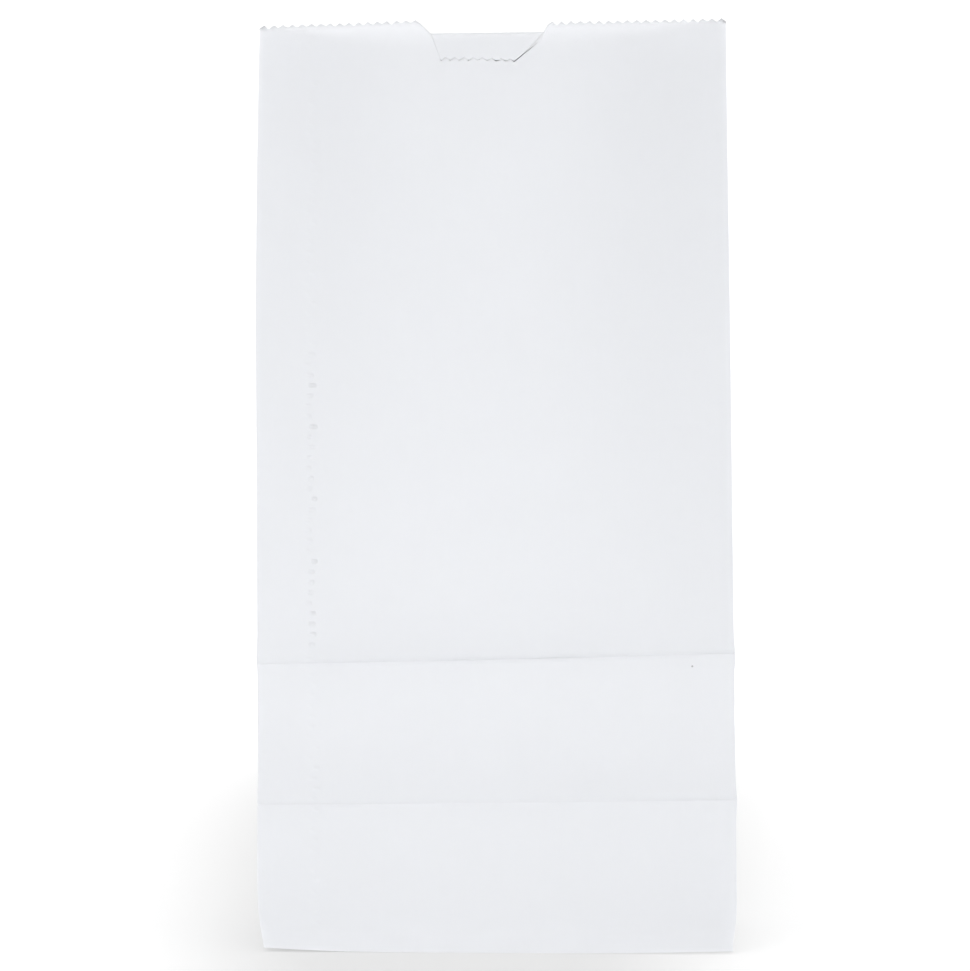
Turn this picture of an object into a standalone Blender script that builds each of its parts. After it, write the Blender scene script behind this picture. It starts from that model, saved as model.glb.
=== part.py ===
"""Paper lunch bag, opened and standing on its square bottom.

One sheet of white paper, folded and glued: a front panel with the thumb notch and the two
creases left by flat packing, a back panel, a gusset tucked in at each side, a lap seam down
the front, a pinked lip, and a bottom of folded flaps. Metres, +Z up, front towards -Y, origin
at the middle of the bottom where it meets the table.
"""

import math

import bmesh
import bpy
import numpy as np
from mathutils import Vector
from mathutils.geometry import delaunay_2d_cdt

# Sheet
PAPER = 0.0001
BAG_WIDTH = 0.127
BAG_DEPTH = 0.0794
BAG_HEIGHT = 0.2477

# How far the opened bag has closed again towards its lip
LIP_GAP = 0.027
FRONT_DRAW_AT_LOWER_CREASE = 0.0025
FRONT_DRAW_AT_UPPER_CREASE = 0.0047
BULGE_BELOW_LOWER_CREASE = 0.00075
BULGE_BETWEEN_CREASES = 0.0018
BULGE_ABOVE_UPPER_CREASE = 0.0040
ROLL_ABOVE_UPPER_CREASE = 0.0012
ROLL_LENGTH = 0.012
BULGE_OF_BACK = 0.0050

# Creases of the flat pack, which run a little out of square
LOWER_CREASE_RISE = 0.0012
UPPER_CREASE_RISE = 0.0032

# Soft upright valley below the notch, and one faint upright fold beside it
VALLEY_DEPTH = 0.0014
VALLEY_HALF_WIDTH = 0.019
VALLEY_REACH = 0.120
FOLD_X = 0.0236
FOLD_HEIGHT = 0.0005
FOLD_HALF_WIDTH = 0.010

# Lap seam on the front panel, in from its left edge
SEAM_INSET = 0.0078
SEAM_WIDTH = 0.0120
SEAM_EASE = 0.0030
SEAM_STEP = 0.00005

# Pinked lip and thumb notch
TOOTH_PITCH = 0.0026
TOOTH_DEPTH = 0.0009
NOTCH_LIP_LEFT = -0.0194
NOTCH_SHOULDER_LEFT = -0.0162
NOTCH_FLOOR_LEFT = -0.0138
NOTCH_FLOOR_RIGHT = 0.0061
NOTCH_SHOULDER_RIGHT = 0.0138
NOTCH_LIP_RIGHT = 0.0151
NOTCH_SHOULDER_DEPTH = 0.0032
NOTCH_DEPTH = 0.0096
LIP_BAND = 0.0140

# Bottom flaps
FLAP_LENGTH = 0.050
RECESS_MARGIN = 0.0004

# Grid of the sheet
FRONT_SPACING = 0.0062
BACK_SPACING = 0.0090
STEPS = (5, 8, 16)

HALF_WIDTH = BAG_WIDTH / 2
HALF_DEPTH = BAG_DEPTH / 2
HALF_LIP = LIP_GAP / 2
SEAM_FROM = SEAM_INSET - HALF_WIDTH
SEAM_TO = SEAM_FROM + SEAM_WIDTH
FLAP_EDGE_X = HALF_WIDTH - FLAP_LENGTH
FLAP_EDGE_Y = FLAP_LENGTH - HALF_DEPTH
KNOT_X = HALF_WIDTH - HALF_DEPTH

TO_MM = 1000

# Rows of the grid: STEPS counts them up to the lower crease, to the upper one and to the lip band
CREASE_ROW = STEPS[0]
BAND_ROW = sum(STEPS)


def spread(keys, spacing):
    """Places across a panel: every key place, and equal steps between them."""
    keys = sorted(set(keys))
    places = keys[:1]
    for left, right in zip(keys, keys[1:]):
        count = max(1, math.ceil((right - left) / spacing - 0.2))
        places += [left + (right - left) * i / count for i in range(1, count)]
        places.append(right)
    return places


FLAP_KEYS = (-HALF_WIDTH, -FLAP_EDGE_X, 0.0, FLAP_EDGE_X, HALF_WIDTH)
SEAM_KEYS = (SEAM_FROM - SEAM_EASE, SEAM_FROM, SEAM_TO, SEAM_TO + SEAM_STEP)
FRONT_COLUMNS = spread((*FLAP_KEYS, *SEAM_KEYS, FOLD_X), FRONT_SPACING)
BACK_COLUMNS = spread(FLAP_KEYS, BACK_SPACING)[::-1]
LEAF_COLUMNS = (0.0, 1 / 3, 2 / 3, 1.0)
WEB_COLUMNS = (0.0, 0.25, 0.5, 0.75, 1.0)


def smooth(value):
    value = min(max(value, 0.0), 1.0)
    return value * value * (3 - 2 * value)


def crease_heights(x, front_share):
    """Heights, up the sheet, of both flat-pack creases: out of square on the front, level at the back."""
    across = front_share * (x / BAG_WIDTH)
    lower = HALF_DEPTH + across * LOWER_CREASE_RISE
    upper = BAG_DEPTH - front_share * 0.0010 + across * UPPER_CREASE_RISE
    return lower, upper


def row_height(row, x, front_share):
    """Height up the sheet of one row of the grid."""
    lower, upper = crease_heights(x, front_share)
    keys = (0.0, lower, upper, BAG_HEIGHT - LIP_BAND)
    for index, count in enumerate(STEPS):
        if row <= count:
            return keys[index] + (keys[index + 1] - keys[index]) * row / count
        row -= count
    return keys[-1]


def front_reach(m, x):
    """How far the front panel stands from the middle plane at height m up the sheet."""
    lower, upper = crease_heights(x, 1.0)
    at_lower = HALF_DEPTH - FRONT_DRAW_AT_LOWER_CREASE
    at_upper = HALF_DEPTH - FRONT_DRAW_AT_UPPER_CREASE
    if m <= lower:
        share = m / lower
        return HALF_DEPTH + (at_lower - HALF_DEPTH) * share + BULGE_BELOW_LOWER_CREASE * math.sin(math.pi * share)
    if m <= upper:
        share = (m - lower) / (upper - lower)
        return at_lower + (at_upper - at_lower) * share + BULGE_BETWEEN_CREASES * math.sin(math.pi * share)
    share = (m - upper) / (BAG_HEIGHT - upper)
    roll = (m - upper) / ROLL_LENGTH
    reach = at_upper + (HALF_LIP - at_upper) * share + BULGE_ABOVE_UPPER_CREASE * math.sin(math.pi * share)
    return reach + ROLL_ABOVE_UPPER_CREASE * roll * math.exp(1 - roll)


def back_reach(m):
    share = m / BAG_HEIGHT
    return HALF_DEPTH + (HALF_LIP - HALF_DEPTH) * share + BULGE_OF_BACK * math.sin(math.pi * share)


def climb(reach, m, steps=80):
    """Height over the table: the sheet keeps its length while it leans."""
    heights = np.linspace(0.0, m, steps + 1)
    out = np.array([reach(h) for h in heights])
    return float(np.sqrt(np.maximum(np.diff(heights) ** 2 - np.diff(out) ** 2, 0.0)).sum())


def front_relief(x, m):
    """Soft valley below the notch and the faint fold beside it, measured outwards."""
    down = BAG_HEIGHT - m
    depth = VALLEY_DEPTH * smooth(1 - down / VALLEY_REACH)
    valley = depth * 0.5 * (1 + math.cos(math.pi * min(abs(x / VALLEY_HALF_WIDTH), 1.0)))
    window = smooth((m - 0.125) / 0.03) * smooth((0.215 - m) / 0.03)
    fold = FOLD_HEIGHT * window * max(0.0, 1 - abs(x - FOLD_X) / FOLD_HALF_WIDTH)
    return fold - valley


def front_point(x, m):
    return np.array((x, -front_reach(m, x) - front_relief(x, m), climb(lambda h: front_reach(h, x), m)))


def back_point(x, m):
    return np.array((x, back_reach(m), climb(back_reach, m)))


def tuck(m, side):
    """How far the gusset's middle crease stands in from the bag's side, at height m up the sheet."""
    half_gap = 0.5 * (front_reach(m, side * HALF_WIDTH) + back_reach(m))
    return math.sqrt(HALF_DEPTH**2 - half_gap**2)


def gusset_crease(m, side):
    """Point of the gusset's middle crease. Below the lower crease it is the peak of the bottom triangle."""
    peak = tuck(HALF_DEPTH, side)
    inward = tuck(max(m, HALF_DEPTH), side)
    rise = math.sqrt(HALF_DEPTH**2 - peak**2)
    if m > HALF_DEPTH:
        heights = np.linspace(HALF_DEPTH, m, 60)
        across = np.array([tuck(h, side) for h in heights])
        rise += float(np.sqrt(np.diff(heights) ** 2 - np.diff(across) ** 2).sum())
    middle = 0.5 * (back_reach(m) - front_reach(m, side * HALF_WIDTH))
    return np.array((side * (HALF_WIDTH - inward), middle, rise))


def hinge(m, side, end):
    """Line where a gusset leaf folds: the diagonal up to the peak, then the middle crease. End -1 is the front."""
    if m >= HALF_DEPTH:
        return gusset_crease(m, side)
    foot = np.array((side * HALF_WIDTH, end * HALF_DEPTH, 0.0))
    return foot + (gusset_crease(HALF_DEPTH, side) - foot) * (m / HALF_DEPTH)


def gusset_height(row, share, side, front):
    """Rows of a leaf run from the panel's crease at its outer edge to the level rows of the middle crease."""
    outer = row_height(row, side * HALF_WIDTH, 1.0 if front else 0.0)
    return outer + (row_height(row, 0.0, 0.0) - outer) * share


def leaf_point(share, m_outer, m_inner, side, front):
    outer = front_point(side * HALF_WIDTH, m_outer) if front else back_point(side * HALF_WIDTH, m_outer)
    return outer + (hinge(m_inner, side, -1 if front else 1) - outer) * share


def zigzag(start, end, top):
    """Pinked edge from start to end: low at both ends, with whole teeth between."""
    count = max(1, round(abs(end - start) / TOOTH_PITCH))
    places = np.linspace(start, end, 2 * count + 1)
    return [(s, top - TOOTH_DEPTH * (1 - index % 2)) for index, s in enumerate(places)]


def front_lip():
    top = BAG_HEIGHT
    points = zigzag(-HALF_WIDTH, NOTCH_LIP_LEFT, top)
    points.append((NOTCH_SHOULDER_LEFT, top - NOTCH_SHOULDER_DEPTH))
    points += zigzag(NOTCH_FLOOR_LEFT, NOTCH_FLOOR_RIGHT, top - NOTCH_DEPTH)
    points.append((NOTCH_SHOULDER_RIGHT, top - NOTCH_SHOULDER_DEPTH))
    return points + zigzag(NOTCH_LIP_RIGHT, HALF_WIDTH, top)


def with_columns(outline, columns):
    """Adds to an outline its own points above each column of the grid, and returns one run per cell."""
    direction = 1 if columns[-1] > columns[0] else -1
    places = np.array([direction * s for s, _ in outline])
    heights = np.array([m for _, m in outline])
    runs = []
    for left, right in zip(columns[:-1], columns[1:]):
        inner = [(s, m) for s, m in outline if direction * left + 1e-6 < direction * s < direction * right - 1e-6]
        first = (left, float(np.interp(direction * left, places, heights)))
        last = (right, float(np.interp(direction * right, places, heights)))
        runs.append([first, *inner, last])
    return runs


def lap(x, row):
    """Share of one extra paper thickness at the seam: eased in, ending at the sheet's cut edge."""
    if row == 0 or x < SEAM_FROM - SEAM_EASE or x > SEAM_TO + SEAM_STEP / 2:
        return 0.0
    return smooth((x - SEAM_FROM + SEAM_EASE) / SEAM_EASE)


def cut_flat(outline):
    """Triangles of a flat outline with short teeth or many points on one line, as places in the outline."""
    spots = [Vector((a * TO_MM, b * TO_MM)) for a, b in outline]
    found = delaunay_2d_cdt(spots, [], [list(range(len(spots)))], 1, 1e-5)
    return [[found[3][corner][0] for corner in triangle] for triangle in found[2]]


class Sheet:
    """Single skin of the bag: points with their share of lap, and triangles turned outwards."""

    def __init__(self):
        self.points = []
        self.laps = []
        self.index = {}
        self.triangles = []

    def at(self, point, extra=0.0):
        key = (*(round(float(v) * 1e7) for v in point), extra > 0.5)
        if key not in self.index:
            self.index[key] = len(self.points)
            self.points.append(np.array(point, float))
            self.laps.append(extra)
        return self.index[key]

    def face(self, corners):
        """One cell of the grid, cut from its first corner, or a cell of four across its shorter diagonal."""
        kept = [c for i, c in enumerate(corners) if c != corners[i - 1]]
        if len(kept) == 4:
            spans = [np.linalg.norm(self.points[kept[i]] - self.points[kept[i + 2]]) for i in (0, 1)]
            kept = kept if spans[0] <= spans[1] else kept[1:] + kept[:1]
        for i in range(1, len(kept) - 1):
            if len({kept[0], kept[i], kept[i + 1]}) == 3:
                self.triangles.append([kept[0], kept[i], kept[i + 1]])


def on_level(point, level):
    return np.array((point[0], point[1], level))


FRONT_LEVEL = PAPER
BACK_LEVEL = 0.0
SIDE_LEVEL = 2 * PAPER
FLOOR_LEVEL = 3 * PAPER


def panel(sheet, columns, point, extra, level, share):
    """Front or back panel up to the lip band. The bottom row stands on the panel's own flap."""
    grid = []
    for s in columns:
        line = []
        for row in range(BAND_ROW + 1):
            place = point(s, row_height(row, s, share))
            if row == 0:
                place = on_level(place, level)
            line.append(sheet.at(place, extra(s, row)))
        grid.append(line)
    for column in range(len(columns) - 1):
        for row in range(BAND_ROW):
            corners = [grid[column][row], grid[column + 1][row], grid[column + 1][row + 1], grid[column][row + 1]]
            if row == 0 and column == 0:
                side_foot = sheet.at(on_level(sheet.points[grid[0][0]], SIDE_LEVEL))
                corners = [*corners[1:], side_foot, corners[0]]
            if row == 0 and column == len(columns) - 2:
                corners.insert(2, sheet.at(on_level(sheet.points[grid[-1][0]], SIDE_LEVEL)))
            sheet.face(corners)
    return grid


def band(sheet, below, columns, outline, point, extra, length=1.0):
    """Lip band above one panel or leaf. Columns and outline run along it in units of length."""
    direction = length if columns[-1] > columns[0] else -length
    foot = BAG_HEIGHT - LIP_BAND
    for cell, run in enumerate(with_columns(outline, columns)):
        corners = [below[cell], below[cell + 1]]
        corners += [sheet.at(point(s, m), extra(s)) for s, m in reversed(run)]
        flat = [(direction * columns[cell], foot), (direction * columns[cell + 1], foot)]
        flat += [(direction * s, m) for s, m in reversed(run)]
        sheet.triangles += [[corners[i] for i in triangle] for triangle in cut_flat(flat)]


def leaf(sheet, side, front):
    """Half a gusset, from the panel's edge to its hinge line, in the order that turns its faces outwards."""
    shares = LEAF_COLUMNS if (side > 0) == front else LEAF_COLUMNS[::-1]
    grid = []
    for share in shares:
        line = []
        for row in range(BAND_ROW + 1):
            outer = gusset_height(row, 0.0, side, front)
            inner = gusset_height(row, 1.0, side, front)
            place = leaf_point(share, outer, inner, side, front)
            line.append(sheet.at(on_level(place, SIDE_LEVEL) if row == 0 else place))
        grid.append(line)
    for column in range(len(shares) - 1):
        for row in range(BAND_ROW):
            sheet.face([grid[column][row], grid[column + 1][row], grid[column + 1][row + 1], grid[column][row + 1]])
    outline = zigzag(shares[0] * HALF_DEPTH, shares[-1] * HALF_DEPTH, BAG_HEIGHT)
    outline = [(s / HALF_DEPTH, m) for s, m in outline]
    below = [line[BAND_ROW] for line in grid]
    band(sheet, below, shares, outline, lambda s, m: leaf_point(s, m, m, side, front), lambda s: 0.0, HALF_DEPTH)


def web(sheet, side):
    """Bottom triangle of a gusset, between its two diagonals."""
    ends = (-1, 1) if side > 0 else (1, -1)
    grid = []
    for share in WEB_COLUMNS:
        line = []
        for row in range(CREASE_ROW + 1):
            m = row_height(row, 0.0, 0.0)
            start = hinge(m, side, ends[0])
            place = start + (hinge(m, side, ends[1]) - start) * share
            line.append(sheet.at(on_level(place, SIDE_LEVEL) if row == 0 else place))
        grid.append(line)
    for column in range(len(WEB_COLUMNS) - 1):
        for row in range(CREASE_ROW):
            sheet.face([grid[column][row], grid[column + 1][row], grid[column + 1][row + 1], grid[column][row + 1]])


def corner_offset(normals):
    """Offset that puts a point one unit behind every plane that meets there."""
    return np.linalg.pinv(np.array(normals), rcond=0.05) @ -np.ones(len(normals))


def inner_points(points, triangles):
    """Each point of the skin, moved in by one paper thickness."""
    found = [[] for _ in points]
    for triangle in triangles:
        a, b, c = (points[i] for i in triangle)
        normal = np.cross(b - a, c - a)
        length = np.linalg.norm(normal)
        if length > 1e-10:
            for i in triangle:
                found[i].append(normal / length)
    return [corner_offset(normals) for normals in found]


def build_bag():
    sheet = Sheet()
    front = panel(sheet, FRONT_COLUMNS, front_point, lap, FRONT_LEVEL, 1.0)
    top = [line[BAND_ROW] for line in front]
    band(sheet, top, FRONT_COLUMNS, front_lip(), front_point, lambda s: lap(s, 1))
    back = panel(sheet, BACK_COLUMNS, back_point, lambda s, row: 0.0, BACK_LEVEL, 0.0)
    top = [line[BAND_ROW] for line in back]
    band(sheet, top, BACK_COLUMNS, zigzag(HALF_WIDTH, -HALF_WIDTH, BAG_HEIGHT), back_point, lambda s: 0.0)
    for side in (1, -1):
        leaf(sheet, side, True)
        web(sheet, side)
        leaf(sheet, side, False)

    triangles = sheet.triangles
    offsets = inner_points(sheet.points, triangles)

    # Outer skin with the lap standing proud, then the inner skin behind it
    count = len(sheet.points)
    points = [p - o * PAPER * extra for p, o, extra in zip(sheet.points, offsets, sheet.laps)]
    rows = []
    for p, o in zip(sheet.points, offsets):
        if p[2] > SIDE_LEVEL + 1e-9:
            rows.append(p + o * PAPER)
        else:
            x = min(max(p[0], PAPER - HALF_WIDTH), HALF_WIDTH - PAPER)
            y = min(max(p[1], PAPER - HALF_DEPTH), HALF_DEPTH - PAPER)
            rows.append(np.array((x, y, FLOOR_LEVEL)))
    points += rows
    faces = [list(t) for t in triangles]
    faces += [[i + count for i in reversed(t)] for t in triangles]

    # Rim along the lip
    used = set()
    for t in triangles:
        for a, b in zip(t, t[1:] + t[:1]):
            used.add((a, b))
    for a, b in sorted(used):
        if (b, a) not in used and max(sheet.points[a][2], sheet.points[b][2]) > 0.01:
            faces += [[b, a, a + count], [b, a + count, b + count]]
    add_bottom(points, faces, sheet, front, back, count)
    return points, faces


def add_bottom(points, faces, sheet, front, back, count):
    """Underside with its three layers of flap, and the floor inside with the slot between the side flaps."""

    def new(x, y, z):
        points.append(np.array((x, y, z)))
        return len(points) - 1

    def level_face(corners):
        flat = [(points[c][0], points[c][1]) for c in corners]
        faces.extend([corners[i] for i in triangle] for triangle in cut_flat(flat))

    def upright_face(corners):
        faces.extend([corners[0], corners[i], corners[i + 1]] for i in range(1, len(corners) - 1))

    def side_row(side):
        found = [
            i
            for i, p in enumerate(sheet.points)
            if abs(p[2] - SIDE_LEVEL) < 1e-9 and abs(p[0] - side * HALF_WIDTH) < 1e-9
        ]
        return sorted(found, key=lambda i: sheet.points[i][1])

    front_row = [line[0] for line in front]
    back_row = [line[0] for line in back]
    sides = {side: side_row(side) for side in (1, -1)}
    knots = {side: [new(side * KNOT_X, 0.0, level) for level in (0.0, PAPER, SIDE_LEVEL)] for side in (1, -1)}
    tips = {side: [new(side * FLAP_EDGE_X, -FLAP_EDGE_Y, level) for level in (0.0, PAPER)] for side in (1, -1)}

    # Back flap, lowest and outermost, then the front flap that it overlaps, then each side flap
    level_face([*back_row, knots[-1][0], tips[-1][0], tips[1][0], knots[1][0]])
    level_face([*front_row, knots[1][1], tips[1][1], tips[-1][1], knots[-1][1]])
    level_face([*sides[1], knots[1][2]])
    level_face([*sides[-1], knots[-1][2]])

    # Cut and folded edges of the flaps, one paper thickness high each
    upright_face([tips[-1][0], tips[1][0], tips[1][1], tips[-1][1]])
    for side, front_end, back_end in ((1, front_row[-1], back_row[0]), (-1, front_row[0], back_row[-1])):
        upright_face([tips[side][0], knots[side][0], knots[side][1], tips[side][1]])
        upright_face([front_end, sides[side][0], knots[side][2], knots[side][1]])
        upright_face([back_end, sides[side][-1], knots[side][2], knots[side][1], knots[side][0]])

    # Floor inside: the side flaps leave a slot down the middle, with the front flap's edge across it
    slot_y = HALF_DEPTH - PAPER - RECESS_MARGIN
    rim = {(sx, sy): new(sx * FLAP_EDGE_X, sy * slot_y, FLOOR_LEVEL) for sx in (1, -1) for sy in (1, -1)}
    low = {(sx, -1): new(sx * FLAP_EDGE_X, -slot_y, SIDE_LEVEL) for sx in (1, -1)}
    low |= {(sx, 1): new(sx * FLAP_EDGE_X, slot_y, PAPER) for sx in (1, -1)}
    step = {(sx, level): new(sx * FLAP_EDGE_X, FLAP_EDGE_Y, level * PAPER) for sx in (1, -1) for level in (1, 2)}
    at_front = {sx: FRONT_COLUMNS.index(sx * FLAP_EDGE_X) for sx in (1, -1)}
    at_back = {sx: BACK_COLUMNS.index(sx * FLAP_EDGE_X) for sx in (1, -1)}
    f = [i + count for i in front_row]
    b = [i + count for i in back_row]
    right = [i + count for i in sides[1]]
    left = [i + count for i in sides[-1]]
    f[-1], b[0] = right[0], right[-1]
    f[0], b[-1] = left[0], left[-1]
    level_face([*f[at_front[-1] : at_front[1] + 1], rim[1, -1], rim[-1, -1]])
    level_face([*b[at_back[1] : at_back[-1] + 1], rim[-1, 1], rim[1, 1]])
    level_face([*f[at_front[1] :], *right[1:-1], *b[: at_back[1] + 1], rim[1, 1], rim[1, -1]])
    level_face([*b[at_back[-1] :], *left[-2:0:-1], *f[: at_front[-1] + 1], rim[-1, -1], rim[-1, 1]])
    level_face([low[-1, -1], low[1, -1], step[1, 2], step[-1, 2]])
    level_face([step[-1, 1], step[1, 1], low[1, 1], low[-1, 1]])
    upright_face([step[-1, 2], step[1, 2], step[1, 1], step[-1, 1]])
    upright_face([rim[-1, -1], rim[1, -1], low[1, -1], low[-1, -1]])
    upright_face([rim[1, 1], rim[-1, 1], low[-1, 1], low[1, 1]])
    for sx in (1, -1):
        upright_face([step[sx, 2], low[sx, -1], rim[sx, -1], rim[sx, 1], low[sx, 1], step[sx, 1]])


def paper_material():
    material = bpy.data.materials.new("white_paper")
    material.use_nodes = True
    shader = material.node_tree.nodes["Principled BSDF"]
    shader.inputs["Base Color"].default_value = (0.839, 0.863, 0.896, 1.0)
    shader.inputs["Roughness"].default_value = 0.78
    shader.inputs["Metallic"].default_value = 0.0
    return material


def add_object(name, points, faces, material):
    mesh = bmesh.new()
    verts = {}
    merged = []
    for p in points:
        key = tuple(round(float(v) * 1e7) for v in p)
        if key not in verts:
            verts[key] = mesh.verts.new(p * TO_MM)
        merged.append(verts[key])
    for corners in faces:
        triangle = [merged[c] for c in corners]
        if len(set(triangle)) == 3:
            mesh.faces.new(triangle)
    loose = [v for v in mesh.verts if not v.link_faces]
    bmesh.ops.delete(mesh, geom=loose, context="VERTS")
    bmesh.ops.recalc_face_normals(mesh, faces=mesh.faces[:])
    for vert in mesh.verts:
        vert.co /= TO_MM
    data = bpy.data.meshes.new(name)
    mesh.to_mesh(data)
    mesh.free()
    data.materials.append(material)
    obj = bpy.data.objects.new(name, data)
    bpy.context.scene.collection.objects.link(obj)
    return obj


for old in list(bpy.data.objects):
    bpy.data.objects.remove(old, do_unlink=True)

bag_points, bag_faces = build_bag()
bag = add_object("paper_bag", bag_points, bag_faces, paper_material())
print(bag.name, len(bag.data.polygons), "triangles")
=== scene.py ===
# %% [markdown]
# # A white paper lunch bag
# One sheet of bleached bag paper is folded into a tube with a gusset at each side, glued down a lap
# seam, and closed by folding the end of the tube over itself into a flat bottom. Packed flat, it has
# its bottom folded up over the front panel. Opened and stood up, it keeps the marks of that: two
# creases across the front, gussets that want to close again, and a mouth that leans shut.
#
# The whole bag is one skin of paper, so it is built here as one grid that knows where each point lies
# on the flat sheet. Every fold is then a rule about that flat place. Modelling each side as its own
# plate would be quicker, but the plates would not share their folds, and it is the folds that make
# paper look like paper.

# %% The CAD frame that everything rides on
import math
from functools import partial

import bpy
import numpy as np
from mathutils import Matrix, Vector


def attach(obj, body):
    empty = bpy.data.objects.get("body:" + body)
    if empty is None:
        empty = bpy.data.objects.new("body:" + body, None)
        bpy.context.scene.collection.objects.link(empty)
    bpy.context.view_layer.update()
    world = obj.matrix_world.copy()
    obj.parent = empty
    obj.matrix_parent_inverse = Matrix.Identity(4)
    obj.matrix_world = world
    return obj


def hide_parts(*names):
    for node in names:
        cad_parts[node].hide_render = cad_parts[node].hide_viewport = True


MM = 1e3  # millimetres in a metre, for what the cells print
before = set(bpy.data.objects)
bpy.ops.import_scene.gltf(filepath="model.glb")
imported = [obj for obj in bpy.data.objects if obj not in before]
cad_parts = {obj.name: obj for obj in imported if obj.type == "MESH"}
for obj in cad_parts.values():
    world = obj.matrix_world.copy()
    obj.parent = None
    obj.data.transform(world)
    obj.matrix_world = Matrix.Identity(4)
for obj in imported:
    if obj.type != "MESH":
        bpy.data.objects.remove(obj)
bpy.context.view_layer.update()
print("CAD nodes:", sorted(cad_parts))

# %% [markdown]
# ## Sizes of the sheet
# A bag of this family is named by its width, the depth of its bottom and its height. The flat-pack
# creases follow from the depth: the bottom folds up over the front, so the front panel bends at half
# the depth, and the folded bottom edge prints a second, softer line at the full depth.

# %% Sizes of the bag, in metres
PAPER = 0.0001
HALF_WIDTH = 0.0635
HALF_DEPTH = 0.0397
WIDTH, DEPTH = 2 * HALF_WIDTH, 2 * HALF_DEPTH
HEIGHT = 0.2509  # of paper up the front panel
BACK_HEIGHT = 0.2492
HALF_LIP = 0.0135  # from the middle plane to either lip
print("flat sheet around:", round(2 * MM * (WIDTH + DEPTH)), "mm, tall:", HEIGHT * MM, "mm")

# %% [markdown]
# ## Columns round the tube and rows up it
# The lip is cut with a zigzag knife, so columns stand half a tooth apart: one at each valley and one
# at each tip. The front panel is lower at the thumb notch, and its rows close up there to follow the
# cut. The knife ran a little out of true, so the cut drifts down by up to 0.8 mm along the lip.

# %% Columns of the front panel: place across it, height of the cut, tooth phase, share of a tooth
TOOTH_PITCH = 0.0026
LIP_LEFT, SHOULDER_LEFT, FLOOR_LEFT = -0.0194, -0.0162, -0.0138
FLOOR_RIGHT, SHOULDER_RIGHT, LIP_RIGHT = 0.0061, 0.0138, 0.0151
NOTCH_DEPTH, SHOULDER_DEPTH, LEFT_LIP_RISE = 0.0096, 0.0032, 0.0009
KNIFE_PLACE = (-0.0635, -0.0520, -0.0194, -0.0138, -0.0034, 0.0061, 0.0151, 0.0284, 0.0442, 0.0635)
KNIFE_DRIFT = (0.00050, 0, 0, 0.00016, 0.00032, 0.00077, 0, 0.00010, 0.00042, 0.00085)


def toothed(start, end, cut):
    count = max(1, round((end - start) / TOOTH_PITCH))
    places = np.linspace(start, end, 2 * count + 1)
    return [(place, cut, phase, 1.0) for phase, place in enumerate(places)]


front_cut = toothed(-HALF_WIDTH, LIP_LEFT, HEIGHT + LEFT_LIP_RISE)
front_cut.append((SHOULDER_LEFT, HEIGHT - SHOULDER_DEPTH, 0, 0.0))
front_cut += toothed(FLOOR_LEFT, FLOOR_RIGHT, HEIGHT - NOTCH_DEPTH)
front_cut.append((SHOULDER_RIGHT, HEIGHT - SHOULDER_DEPTH, 0, 0.0))
front_cut += toothed(LIP_RIGHT, HALF_WIDTH, HEIGHT)
columns = np.array(front_cut, float)
X = columns[:, 0]
columns[:, 1] -= np.interp(X, KNIFE_PLACE, KNIFE_DRIFT)
print("front columns:", len(X))

# %% Rows up the sheet: the number of steps from each key height to the next
ROWS = (28, 1, 1, 1, 1, 24, 1, 1, 1, 1, 54, 8)
CREASE_ROW = sum(ROWS[:3])
row_steps = np.concatenate([np.linspace(k, k + 1, n + 1)[(k > 0) :] for k, n in enumerate(ROWS)])
print("rows:", len(row_steps), "row of the lower crease:", CREASE_ROW)

# %% [markdown]
# ## How far each panel stands out
# From the side, the front panel is a chain of shallow arcs that meet at the two creases. Both creases
# are valleys: paper there was folded towards the inside of the bag. The back panel was never folded
# across and leans in as one long arc. A formula for each arc is plainer here than a sculpted mesh,
# and its few numbers can be fitted to a photograph one by one.

# %% Heights of the creases and of the rows, up the flat sheet
GROOVE = 0.00045  # half the width of a pressed crease
LIP_BAND = 0.014  # the rows in this band spread or close up to follow the cut
LOWER_DROP, LOWER_TILT = 0.0004, 0.0007
UPPER_DROP, UPPER_TILT = 0.0019, 0.0012


def smooth(t):
    t = np.clip(t, 0, 1)
    return t * t * (3 - 2 * t)


def bump(value, middle, half_width):
    return 0.5 * (1 + np.cos(np.pi * np.clip((value - middle) / half_width, -1, 1)))


def crease_heights(x, front):
    """The lower and upper crease. They drop and tilt on the front (1) and lie level elsewhere (0)."""
    lower = HALF_DEPTH - front * (LOWER_DROP - LOWER_TILT * x / HALF_WIDTH)
    upper = DEPTH - front * (UPPER_DROP - UPPER_TILT * x / HALF_WIDTH)
    return lower, upper


def row_heights(x, cut, front):
    """Height of every grid point of the columns x, in rows that follow the creases."""
    creases = crease_heights(x, front)
    beside = [crease + step * GROOVE for crease in creases for step in (-3, -1, 0, 1, 3)]
    keys = np.stack([0 * x, *beside, 0 * x + BACK_HEIGHT - LIP_BAND, cut], axis=1)
    low = np.minimum(row_steps.astype(int), len(ROWS) - 1)
    share = row_steps - low
    return keys[:, low] * (1 - share) + keys[:, low + 1] * share


# %% Profiles of the front and back panels, as reach from the middle plane
LOWER_DRAW, UPPER_DRAW, UPPER_DRAW_LESS = 0.0043, 0.0052, 0.0008  # how far in the creases stand
BULGE_BELOW, BULGE_BETWEEN, BULGE_MIDDLE = 0.0004, 0.0017, 0.0005
BULGE_ABOVE, BULGE_BACK = 0.0040, 0.0050
ROLL_EDGE, ROLL_MIDDLE = 0.0008, 0.0046  # the paper rolls out above the upper crease
ROLL_LENGTH_EDGE, ROLL_LENGTH_MIDDLE = 0.014, 0.020
CORNER_BACK = 0.0052  # the left corner of the lip stands further back


def arch(share):
    return np.sin(np.pi * share)


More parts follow.
